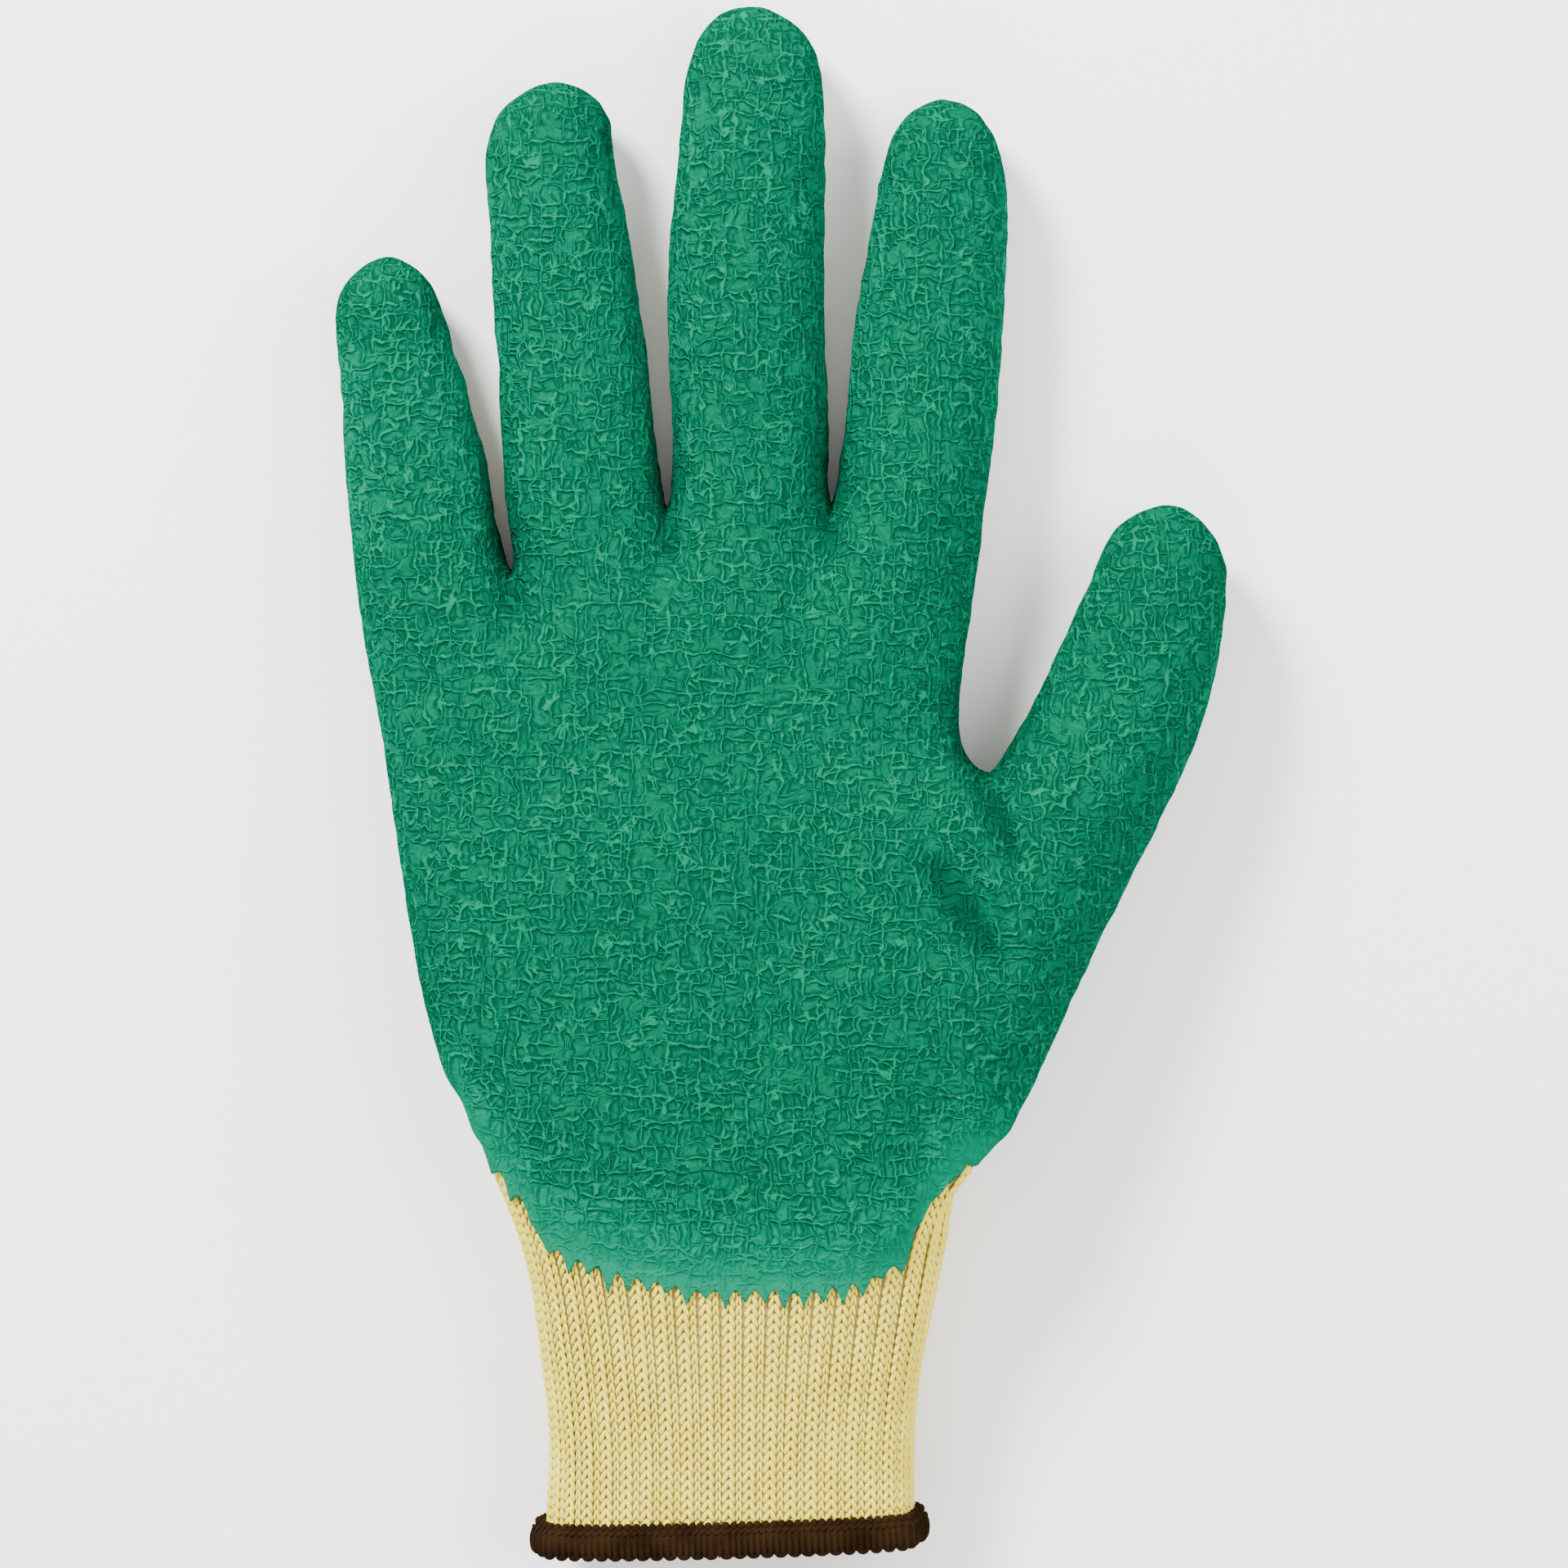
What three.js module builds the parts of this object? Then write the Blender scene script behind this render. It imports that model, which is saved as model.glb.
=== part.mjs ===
// A right-hand work glove: a seamless knitted liner, a crinkle latex coat dipped over its palm side,
// and an overlocked hem round the cuff. It lies on its back with the palm up.
// Millimetres. +X points to the thumb side, +Y to the fingertips, +Z up out of the palm.
// The origin is on the resting surface, under the middle of the glove's length and width.

import * as THREE from "three";

// Walls
const LINER_WALL = 1.2;
const COAT_WALL = 1.0;
const SEAT_GAP = 0.3;
const COVER = SEAT_GAP + COAT_WALL;
const MOST_STRETCH = 1.25;

// A section is a superellipse, pressed flat against the surface that the glove rests on.
// The coat's edge across the wrist is one more, seen in plan.
const DIGIT_ROUNDNESS = 2.15;
const PALM_ROUNDNESS = 2.7;
const PRESSED = 0.9;
const EDGE_ROUNDNESS = 3;

// The palm's ring has 16 steps over the front, 16 over the back and 2 round each side.
// Each finger takes 4 of the front and back steps, so a digit's ring has 12 points.
const DIGIT_STEPS = 4;
const PALM_STEPS = 4 * DIGIT_STEPS;
const PALM_CORNER = 0.94;
const DIGIT_CORNER = 0.97;
const PALM_RING = 2 * (PALM_STEPS + 2);
const DIGIT_RING = 2 * (DIGIT_STEPS + 2);
const RIGHT_SIDE = PALM_STEPS + 1;
const LEFT_SIDE = PALM_RING - 1;
const BACK_OF = (column) => PALM_RING - 2 - column;

// Outline and height of the hand and cuff, from the cuff's end to the roots of the fingers.
// left and right are where the outline passes in plan; bottom and top are heights of the knit.
// dip carries the front of a row towards the cuff, as the coat's edge does.
// arch lifts it towards the finger forks. lobes presses valleys between the fingers.
// hollow is the depth of the palm's cup. open keeps the right side full where the thumb leaves.
// lean sets the underside of a row back from the cuff's end.
const HAND = table(
  "left     right    bottom top   dip  lean arch lobes hollow open coated",
  [[-38.5, -122.8], [21.2, -121.1], 2.2, 24.6, 0.0, 1.2, 0.0, 0.0, 0.0, 0.0, 0],
  [[-38.4, -117.0], [21.3, -115.3], 2.2, 24.8, 0.0, 1.2, 0.0, 0.0, 0.0, 0.0, 0],
  [[-37.8, -110.0], [21.1, -109.0], 1.8, 25.0, 1.0, 0.8, 0.0, 0.0, 0.0, 0.0, 0],
  [[-38.0, -102.2], [21.4, -102.2], 1.2, 25.2, 4.5, 0.5, 0.0, 0.0, 0.0, 0.0, 0],
  [[-38.8, -94.3], [22.1, -94.3], 0.7, 25.6, 7.5, 0.0, 0.0, 0.0, 0.0, 0.0, 0],
  [[-39.8, -86.5], [23.6, -86.5], 0.3, 26.0, 10.5, 0.0, 0.0, 0.0, 0.0, 0.0, 0],
  [[-41.0, -78.6], [25.2, -78.6], 0.0, 26.4, 13.5, 0.0, 0.0, 0.0, 0.0, 0.0, 0],
  [[-43.6, -69.6], [26.8, -70.7], 0.0, 26.8, 16.5, 0.0, 0.0, 0.0, 0.0, 0.0, 0],
  [[-49.8, -57.6], [29.2, -63.4], 0.0, 27.2, 21.5, 0.0, 0.0, 0.0, 0.0, 0.1, 1],
  [[-53.5, -48.6], [33.6, -58.6], 0.0, 27.8, 17.0, 0.0, 0.0, 0.0, 0.0, 0.3, 1],
  [[-57.3, -36.5], [34.8, -43.5], 0.0, 28.4, 9.0, 0.0, 0.0, 0.0, 0.6, 1.0, 1],
  [[-59.8, -24.0], [34.4, -28.0], 0.0, 28.4, 3.0, 0.0, 0.0, 0.0, 1.2, 1.0, 1],
  [[-61.8, -11.0], [33.0, -12.5], 0.0, 27.4, 0.0, 0.0, 0.0, 0.0, 1.4, 0.7, 1],
  [[-63.4, -0.5], [31.2, 1.6], 0.0, 25.8, 0.0, 0.0, 0.0, 0.0, 1.0, 0.2, 1],
  [[-64.7, 7.5], [28.4, 7.6], 0.0, 24.6, 0.0, 0.0, 0.1, 0.0, 0.8, 0.0, 1],
  [[-66.1, 15.5], [28.7, 16.4], 0.0, 23.4, 0.0, 0.0, 0.35, 0.1, 0.4, 0.0, 1],
  [[-67.6, 23.8], [30.1, 27.5], 0.0, 22.0, 0.0, 0.0, 0.65, 0.4, 0.0, 0.0, 1],
  [[-68.3, 28.4], [31.0, 33.6], 0.0, 21.4, 0.0, 0.0, 0.85, 0.75, 0.0, 0.0, 1],
  [[-68.9, 32.1], [31.9, 39.3], 0.0, 20.8, 0.0, 0.0, 1.0, 1.0, 0.0, 0.0, 1],
);
const COAT_EDGE_ROW = HAND.findIndex((row) => row.coated);
const THUMB_FIRST_ROW = COAT_EDGE_ROW + 1;
const THUMB_LAST_ROW = THUMB_FIRST_ROW + DIGIT_STEPS;

// Where the slits between the fingers end, in plan, and how far the web falls away in front of each.
const FORKS = [
  [-43.6, 34.0],
  [-18.6, 43.9],
  [7.6, 44.8],
];
const WEB_FALL = 4.2;
const VALLEY_HEIGHT = 0.52;

// Digits, from the root to the tip. left and right are the two sides of the outline as the digit is
// looked along, bottom and top its heights, and tip its end.
const DIGIT_COLUMNS = "left     right    bottom top";
const LITTLE = {
  rows: table(
    DIGIT_COLUMNS,
    [[-69.3, 36.0], [-44.3, 35.4], 0.0, 20.0],
    [[-70.0, 42.8], [-46.0, 42.4], 0.0, 18.4],
    [[-70.9, 52.4], [-47.6, 52.4], 0.0, 17.1],
    [[-71.6, 62.9], [-50.3, 62.9], 0.2, 16.2],
    [[-72.2, 71.0], [-53.2, 71.4], 0.6, 15.9],
    [[-72.2, 77.0], [-55.2, 77.0], 1.4, 15.4],
    [[-70.6, 80.7], [-56.6, 80.4], 2.9, 14.0],
    [[-68.4, 83.0], [-58.8, 82.8], 4.5, 12.4],
    [[-65.9, 84.5], [-61.2, 84.4], 6.2, 10.8],
  ),
  tip: [-63.5, 85.2, 8.4],
};
const RING = {
  rows: table(
    DIGIT_COLUMNS,
    [[-43.5, 35.4], [-18.9, 45.2], 0.0, 20.6],
    [[-44.8, 45.0], [-19.9, 51.4], 0.0, 19.8],
    [[-45.6, 54.7], [-20.8, 59.8], 0.0, 19.0],
    [[-46.1, 65.8], [-21.9, 69.4], 0.0, 18.4],
    [[-46.8, 76.0], [-23.2, 79.3], 0.0, 18.0],
    [[-47.3, 86.5], [-24.6, 88.4], 0.3, 17.8],
    [[-47.9, 95.4], [-26.4, 97.0], 0.8, 17.6],
    [[-48.1, 101.5], [-27.4, 102.6], 1.5, 17.0],
    [[-46.2, 107.3], [-28.6, 108.0], 2.9, 15.4],
    [[-43.8, 110.2], [-30.0, 110.3], 4.5, 13.8],
    [[-40.5, 112.1], [-32.8, 112.2], 6.6, 11.6],
  ),
  tip: [-36.5, 113.0, 9.0],
};
const MIDDLE = {
  rows: table(
    DIGIT_COLUMNS,
    [[-18.5, 45.2], [7.4, 46.1], 0.0, 21.0],
    [[-17.9, 53.6], [7.2, 53.8], 0.0, 20.2],
    [[-18.3, 63.0], [7.1, 63.0], 0.0, 19.6],
    [[-18.9, 73.4], [6.8, 73.4], 0.0, 19.0],
    [[-18.7, 84.0], [6.8, 84.0], 0.0, 18.7],
    [[-17.8, 94.5], [6.9, 94.5], 0.2, 18.4],
    [[-17.0, 104.3], [6.9, 104.3], 0.6, 18.0],
    [[-16.1, 112.5], [6.4, 112.5], 1.4, 17.3],
    [[-14.8, 117.6], [5.3, 117.6], 2.7, 15.9],
    [[-13.0, 121.4], [2.9, 121.4], 4.4, 14.2],
    [[-9.9, 124.1], [-1.0, 124.1], 6.6, 11.8],
  ),
  tip: [-5.4, 125.4, 9.2],
};
const INDEX = {
  rows: table(
    DIGIT_COLUMNS,
    [[7.9, 46.1], [32.3, 43.0], 0.0, 20.8],
    [[9.1, 53.8], [33.3, 51.2], 0.0, 20.0],
    [[10.1, 62.0], [34.6, 60.4], 0.0, 19.2],
    [[10.9, 71.4], [35.4, 70.4], 0.0, 18.7],
    [[12.2, 80.6], [35.9, 80.2], 0.0, 18.4],
    [[13.9, 89.3], [36.2, 89.1], 0.3, 18.1],
    [[15.3, 96.3], [35.8, 96.3], 0.9, 17.5],
    [[16.6, 102.0], [34.8, 102.0], 1.9, 16.6],
    [[18.2, 105.7], [33.0, 105.7], 3.4, 15.0],
    [[20.4, 108.3], [30.9, 108.3], 5.0, 13.2],
    [[23.0, 109.7], [28.4, 109.7], 6.8, 11.2],
  ),
  tip: [25.7, 110.4, 9.0],
};
const THUMB = {
  rows: table(
    DIGIT_COLUMNS,
    [[32.5, 1.6], [37.4, -53.6], 0.0, 28.6],
    [[34.4, 3.4], [42.6, -42.6], 0.3, 28.0],
    [[36.3, 6.6], [48.0, -30.8], 0.6, 26.8],
    [[38.7, 10.6], [53.6, -19.4], 1.0, 25.4],
    [[41.4, 15.8], [59.1, -8.5], 1.4, 24.0],
    [[44.4, 22.4], [64.2, 2.0], 1.8, 22.8],
    [[47.2, 28.6], [67.9, 11.8], 2.1, 21.9],
    [[49.4, 33.4], [70.1, 21.6], 2.6, 21.0],
    [[51.2, 37.9], [71.1, 30.1], 3.4, 19.8],
    [[53.4, 41.2], [70.8, 36.0], 4.9, 18.0],
    [[56.2, 43.4], [69.4, 39.7], 6.5, 16.4],
    [[59.4, 44.7], [66.6, 42.8], 8.2, 14.7],
  ),
  tip: [63.2, 44.9, 11.4],
};
const TIP_ROWS_ALL_ROUND = 4;

// Hem: its section, as distance out from the knit's outer face and distance down from its top edge.
const HEM_HEIGHT = 6.4;
const HEM_PROUD = 2.2;
const HEM_INSIDE = LINER_WALL + SEAT_GAP;
const HEM_PAST_END = 1.4;
const HEM_SLOT_BOTTOM = HEM_HEIGHT - HEM_PAST_END + SEAT_GAP;
const HEM_SECTION = [
  [SEAT_GAP, 0.1],
  [1.2, 0.1],
  [HEM_PROUD - 0.2, 1.1],
  [HEM_PROUD, 3.2],
  [HEM_PROUD - 0.3, 5.0],
  [1.0, HEM_HEIGHT],
  [-LINER_WALL, HEM_HEIGHT],
  [-HEM_INSIDE - 1.0, 5.4],
  [-HEM_INSIDE - 1.0, 1.6],
  [-HEM_INSIDE, 1.0],
  [-HEM_INSIDE, HEM_SLOT_BOTTOM],
  [SEAT_GAP, HEM_SLOT_BOTTOM],
];

// A table's rows as objects named by its heading.
function table(heading, ...rows) {
  const names = heading.trim().split(/\s+/);
  return rows.map((row) => Object.fromEntries(names.map((name, i) => [name, row[i]])));
}

const mix = (a, b, share) => a + (b - a) * share;
const signedPower = (value, power) => Math.sign(value) * Math.abs(value) ** power;

// Height of a pressed superellipse section, at a share -1 to 1 of its half width.
function sectionHeight(share, roundness) {
  return (1 - Math.abs(share) ** roundness) ** (1 / roundness);
}

// The outline of a digit, moved inwards by the coat's cover, so that the table can hold the outside.
function insetDigit({ rows, tip }) {
  const outline = [
    ...rows.map((row) => row.left),
    tip,
    ...rows.map((row) => row.right).reverse(),
  ].map(([x, y]) => new THREE.Vector2(x, y));
  const moved = outline.map((point, i) => {
    const before = outline[Math.max(i - 1, 0)];
    const after = outline[Math.min(i + 1, outline.length - 1)];
    const along = after.clone().sub(before).normalize();
    return point.clone().add(new THREE.Vector2(along.y, -along.x).multiplyScalar(COVER));
  });
  return {
    rows: rows.map((row, i) => ({ ...row, left: moved[i], right: moved[outline.length - 1 - i] })),
    tip: new THREE.Vector3(moved[rows.length].x, moved[rows.length].y, tip[2]),
  };
}

// The 12 points of a digit's ring: front from left to right, right side, back, left side.
function digitRing({ left, right, bottom, top }) {
  const pressedBottom = bottom - PRESSED;
  const centre = (top + pressedBottom) / 2;
  const half = (top - pressedBottom) / 2;
  return Array.from({ length: DIGIT_RING }, (_, k) => {
    const angle = Math.PI * (1 - (2 * (k + 1)) / DIGIT_RING);
    const share = (1 + signedPower(Math.cos(angle), 2 / DIGIT_ROUNDNESS)) / 2;
    const height = centre + half * signedPower(Math.sin(angle), 2 / DIGIT_ROUNDNESS);
    return new THREE.Vector3(
      mix(left.x, right.x, share),
      mix(left.y, right.y, share),
      Math.max(height, bottom),
    );
  });
}

// How far a row's column lies from the straight line between its ends, where the forks lift it.
function forkArch(column) {
  const top = HAND.at(-1);
  const fork = column / DIGIT_STEPS;
  const lifts = [0, ...FORKS.map(([, y], i) => y - WEB_FALL - mix(top.left[1], top.right[1], (i + 1) / 4)), 0];
  const below = Math.min(Math.floor(fork), 3);
  return mix(lifts[below], lifts[below + 1], fork - below);
}

// One front or back point of the hand, at a column 0 to 16 from left to right.
function handPoint(row, column, side) {
  const inset = row.coated ? COVER : 0;
  const corner = mix(PALM_CORNER, DIGIT_CORNER, row.lobes);
  const share = corner * (2 * (column / PALM_STEPS) - 1);
  const across = (1 + share) / 2;
  const held = share > 0 ? share * (1 - 0.62 * row.open) : share;
  const pressedBottom = row.bottom - PRESSED;
  const centre = (row.top + pressedBottom) / 2;
  const half = (row.top - pressedBottom) / 2;
  const onFork = column % DIGIT_STEPS === 0 && column > 0 && column < PALM_STEPS;
  const lobe = [VALLEY_HEIGHT, 0.875, 1, 0.875][column % DIGIT_STEPS];
  const fullness = mix(sectionHeight(held, PALM_ROUNDNESS), lobe, row.lobes);
  const cup = side > 0 ? row.hollow * Math.max(0, 1 - (share / 0.55) ** 2) : 0;
  const height = centre + side * half * fullness - cup;
  const forward = side > 0 ? row.dip * (1 - Math.abs(share) ** EDGE_ROUNDNESS) : -row.lean;
  const forkShift = FORKS[column / DIGIT_STEPS - 1];
  const plainX = mix(row.left[0] + inset, row.right[0] - inset, across);
  return new THREE.Vector3(
    onFork ? mix(plainX, forkShift[0], row.lobes) : plainX,
    mix(row.left[1], row.right[1], across) - forward + row.arch * forkArch(column),
    Math.max(height, row.bottom),
  );
}

// The 36 points of one of the hand's rings, in the same order as a digit's.
function handRing(row) {
  const columns = Array.from({ length: PALM_STEPS + 1 }, (_, column) => column);
  const inset = row.coated ? COVER : 0;
  const middle = (row.top + row.bottom - PRESSED) / 2;
  return [
    ...columns.map((column) => handPoint(row, column, 1)),
    new THREE.Vector3(row.right[0] - inset, row.right[1] + row.lean / 2, middle),
    ...columns.reverse().map((column) => handPoint(row, column, -1)),
    new THREE.Vector3(row.left[0] + inset, row.left[1] + row.lean / 2, middle),
  ];
}

// The glove's skin, which is the knit's outer face: points, and faces with the region they lie in.
function gloveSkin() {
  const points = [];
  const faces = [];
  const add = (point) => points.push(point) - 1;
  const addFace = (coated, ...corners) => faces.push({ coated, corners });
  const bandBetween = (lower, upper, coatedAt) => {
    lower.forEach((_, k) => {
      const next = (k + 1) % lower.length;
      addFace(coatedAt(k), lower[k], lower[next], upper[next]);
      addFace(coatedAt(k), lower[k], upper[next], upper[k]);
    });
  };

  const rings = HAND.map((row) => handRing(row).map(add));
  rings.slice(1).forEach((upper, j) => {
    const besideThumb = j >= THUMB_FIRST_ROW && j < THUMB_LAST_ROW;
    const onBack = (k) => k > RIGHT_SIDE && k < LEFT_SIDE - 1;
    for (let k = 0; k < PALM_RING; k += 1) {
      if (besideThumb && (k === RIGHT_SIDE - 1 || k === RIGHT_SIDE)) continue;
      const next = (k + 1) % PALM_RING;
      const coated = j >= COAT_EDGE_ROW && !onBack(k);
      addFace(coated, rings[j][k], rings[j][next], upper[next]);
      addFace(coated, rings[j][k], upper[next], upper[k]);
    }
  });

  const addDigit = (digit, root) => {
    const { rows, tip } = insetDigit(digit);
    const digitRings = [root, ...rows.map((row) => digitRing(row).map(add))];
    digitRings.slice(1).forEach((upper, j) => {
      const nearTip = j > rows.length - TIP_ROWS_ALL_ROUND;
      const onBack = (k) => k > DIGIT_STEPS + 1 && k < DIGIT_RING - 2;
      bandBetween(digitRings[j], upper, (k) => nearTip || !onBack(k));
    });
    const end = add(tip);
    const last = digitRings.at(-1);
    last.forEach((corner, k) => addFace(true, corner, last[(k + 1) % last.length], end));
  };

  const top = rings.at(-1);
  const forks = FORKS.map(([x, y]) => add(new THREE.Vector3(x, y - COVER, HAND.at(-1).top / 2)));
  const sides = [top[LEFT_SIDE], ...forks, top[RIGHT_SIDE]];
  [LITTLE, RING, MIDDLE, INDEX].forEach((finger, i) => {
    const columns = Array.from({ length: DIGIT_STEPS + 1 }, (_, step) => i * DIGIT_STEPS + step);
    addDigit(finger, [
      ...columns.map((column) => top[column]),
      sides[i + 1],
      ...columns.reverse().map((column) => top[BACK_OF(column)]),
      sides[i],
    ]);
  });

  const thumbRings = rings.slice(THUMB_FIRST_ROW, THUMB_LAST_ROW + 1);
  addDigit(THUMB, [
    ...thumbRings.map((ring) => ring[RIGHT_SIDE - 1]).reverse(),
    thumbRings[0][RIGHT_SIDE],
    ...thumbRings.map((ring) => ring[RIGHT_SIDE + 1]),
    thumbRings.at(-1)[RIGHT_SIDE],
  ]);
  return { points, faces, cuffEnd: rings[0], cuffAbove: rings[1] };
}

// How far each of the skin's points moves for every millimetre that its faces are to move outwards.
function skinOffsets({ points, faces }) {
  const sums = points.map(() => new THREE.Vector3());
  const around = points.map(() => []);
  faces.forEach(({ corners }) => {
    const triangle = new THREE.Triangle(...corners.map((corner) => points[corner]));
    const normal = triangle.getNormal(new THREE.Vector3());
    corners.forEach((corner) => {
      sums[corner].addScaledVector(normal, triangle.getArea());
      around[corner].push(normal);
    });
  });
  return sums.map((sum, i) => {
    const normal = sum.normalize();
    const flattest = Math.min(...around[i].map((other) => other.dot(normal)));
    return normal.clone().multiplyScalar(1 / Math.max(flattest, 1 / MOST_STRETCH));
  });
}

// A closed shell over some of the skin's faces, between two distances out from the skin.
function shellOver(skin, offsets, faces, inner, outer) {
  const positions = [];
  const at = (corner, distance) => skin.points[corner].clone().addScaledVector(offsets[corner], distance);
  const addTriangle = (...corners) => corners.forEach((corner) => positions.push(...corner.toArray()));
  const edges = new Set(faces.flatMap(({ corners: [a, b, c] }) => [`${a},${b}`, `${b},${c}`, `${c},${a}`]));
  faces.forEach(({ corners: [a, b, c] }) => {
    addTriangle(at(a, outer), at(b, outer), at(c, outer));
    addTriangle(at(a, inner), at(c, inner), at(b, inner));
  });
  edges.forEach((edge) => {
    const [a, b] = edge.split(",").map(Number);
    if (edges.has(`${b},${a}`)) return;
    addTriangle(at(b, outer), at(a, outer), at(a, inner));
    addTriangle(at(b, outer), at(a, inner), at(b, inner));
  });
  const geometry = new THREE.BufferGeometry();
  geometry.setAttribute("position", new THREE.Float32BufferAttribute(positions, 3));
  geometry.computeVertexNormals();
  return geometry;
}

// The hem: its section carried round the end of the cuff.
function hemGeometry({ points, cuffEnd, cuffAbove }, offsets) {
  const slotDepth = HEM_SLOT_BOTTOM - SEAT_GAP;
  const sections = cuffEnd.map((corner, k) => {
    const end = points[corner];
    const up = points[cuffAbove[k]].clone().sub(end).normalize();
    const out = offsets[corner].clone().addScaledVector(up, -offsets[corner].dot(up));
    return HEM_SECTION.map(([proud, down]) => {
      return end.clone().addScaledVector(up, slotDepth - down).addScaledVector(out, proud);
    });
  });
  const positions = [];
  sections.forEach((section, k) => {
    const following = sections[(k + 1) % sections.length];
    section.forEach((point, i) => {
      const next = (i + 1) % section.length;
      const corners = [point, following[next], following[i], point, section[next], following[next]];
      corners.forEach((corner) => positions.push(...corner.toArray()));
    });
  });
  const geometry = new THREE.BufferGeometry();
  geometry.setAttribute("position", new THREE.Float32BufferAttribute(positions, 3));
  geometry.computeVertexNormals();
  return geometry;
}

function namedMesh(name, geometry, material) {
  const mesh = new THREE.Mesh(geometry, new THREE.MeshStandardMaterial(material));
  mesh.name = name;
  return mesh;
}

const skin = gloveSkin();
const offsets = skinOffsets(skin);
const coatedFaces = skin.faces.filter((face) => face.coated);

const glove = new THREE.Group();
glove.add(
  namedMesh("knit_liner", shellOver(skin, offsets, skin.faces, -LINER_WALL, 0), {
    color: 0xe6d795,
    roughness: 0.95,
    metalness: 0,
  }),
  namedMesh("latex_coating", shellOver(skin, offsets, coatedFaces, SEAT_GAP, COVER), {
    color: 0x159069,
    roughness: 0.6,
    metalness: 0,
  }),
  namedMesh("overlock_hem", hemGeometry(skin, offsets), {
    color: 0x3f2a1b,
    roughness: 0.9,
    metalness: 0,
  }),
);

// The origin goes on the resting surface, under the middle of the glove.
const bounds = new THREE.Box3().setFromObject(glove);
const middle = bounds.getCenter(new THREE.Vector3());
glove.children.forEach((mesh) => mesh.geometry.translate(-middle.x, -middle.y, -bounds.min.z));

export default glove;
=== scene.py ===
"""A right-hand work glove, lying on its back: knitted liner, crinkled latex coat and overlocked hem."""

import itertools
import math

import bmesh
import bpy
import numpy as np
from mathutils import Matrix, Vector, noise
from mathutils.bvhtree import BVHTree


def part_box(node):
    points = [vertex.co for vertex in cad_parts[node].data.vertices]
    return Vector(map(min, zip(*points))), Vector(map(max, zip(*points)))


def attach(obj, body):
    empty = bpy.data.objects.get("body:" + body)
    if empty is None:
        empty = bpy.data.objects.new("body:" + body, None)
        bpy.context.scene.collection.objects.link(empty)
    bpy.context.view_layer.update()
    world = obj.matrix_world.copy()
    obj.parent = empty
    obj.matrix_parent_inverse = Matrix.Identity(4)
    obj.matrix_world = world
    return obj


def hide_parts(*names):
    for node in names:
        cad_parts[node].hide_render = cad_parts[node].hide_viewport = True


bl_info = {
    "name": "Coated Work Glove",
    "version": (1, 0, 0),
    "blender": (4, 5, 0),
    "location": "3D View > Sidebar > Glove",
    "description": "Knitted work glove with a crinkled latex coat, round a packed frame",
    "category": "Object",
}

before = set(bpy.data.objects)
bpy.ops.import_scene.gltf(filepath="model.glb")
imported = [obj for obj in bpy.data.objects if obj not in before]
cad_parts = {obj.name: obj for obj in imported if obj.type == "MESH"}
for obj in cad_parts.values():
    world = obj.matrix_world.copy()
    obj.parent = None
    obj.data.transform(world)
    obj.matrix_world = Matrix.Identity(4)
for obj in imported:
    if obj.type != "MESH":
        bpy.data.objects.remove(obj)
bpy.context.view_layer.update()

MM = 0.001

# The picture's centre on the glove, the camera's height, and the width seen at a plane over the floor, in
# millimetres
VIEW_CENTRE = (0.6, -0.7)
VIEW_HEIGHT = 1200.0
VIEW_WIDTH = 251.3
VIEW_PLANE = 13.0

# Lights: place and size in metres, and power in watts
LIGHTS = {
    "key": ((-0.60, 0.80, 0.75), 0.35, 52.0),
    "fill": ((0.9, 0.2, 0.9), 0.9, 22.0),
    "front": ((0.0, -0.9, 0.8), 0.8, 6.0),
}
WORLD_STRENGTH = 1.3

# The latex's colours: its body in two tones, its thin edge, painted shade for its hollows, a painted
# highlight for its crests and painted shade for its creases
LATEX = {
    "body": (0.0014, 0.074, 0.0365, 1),
    "patches": (0.0016, 0.085, 0.042, 1),
    "edge": (0.0010, 0.137, 0.072, 1),
    "hollow": (0.0006, 0.022, 0.0105, 1),
    "crest_highlight": (0.0008, 0.165, 0.081, 1),
    "crease_shade": (0.0004, 0.018, 0.008, 1),
}

# The crinkle: noise scale and reach of its bends; pitch, width and stretches of its straight ridges; scale,
# width and cover of its cells; bend and pitch of its ribs; and its scale and relief on the coat
BENDS = ((230.0, 2.6), (620.0, 1.25))
RIDGES = {
    "X": (1.90, 0.40, (640.0, 210.0, 300.0)),
    "Y": (2.10, 0.38, (210.0, 600.0, 300.0)),
}
CELLS = (430.0, 0.34, 0.50)
RIB_BEND = (200.0, 0.8)
RIB_PITCH = 0.8
CRINKLE_SCALE = 1.05
CRINKLE_RELIEF = 0.42

# The two tones of each yarn; the knit ground's are darker than the yarn's own, painted shade for the holes
# between the stitches
YARNS = {
    "cotton_yarn": ((0.63, 0.518, 0.052, 1), (0.73, 0.615, 0.070, 1)),
    "knit_ground": ((0.24, 0.195, 0.050, 1), (0.31, 0.25, 0.07, 1)),
    "knit_inside": ((0.50, 0.42, 0.07, 1), (0.58, 0.49, 0.09, 1)),
    "hem_yarn": ((0.0090, 0.0040, 0.0012, 1), (0.0200, 0.0098, 0.0033, 1)),
}

# The coat's lower edge over the wrist, seen from the front, in millimetres
EDGE_X = (-50.5, -46.6, -40.0, -38.0, -33.5, -25.6, -13.8, 5.8, 13.7, 20.2, 21.5, 25.4, 29.4)
EDGE_Y = (-54.4, -62.2, -70.1, -75.3, -77.9, -80.5, -83.2, -83.2, -81.8, -77.9, -72.7, -67.4, -63.5)

# Where the coat's own edge lies over that line, and how much of the way from it counts as depth
EDGE_LIFT = 2.1
EDGE_SLOPE = 0.85

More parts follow.
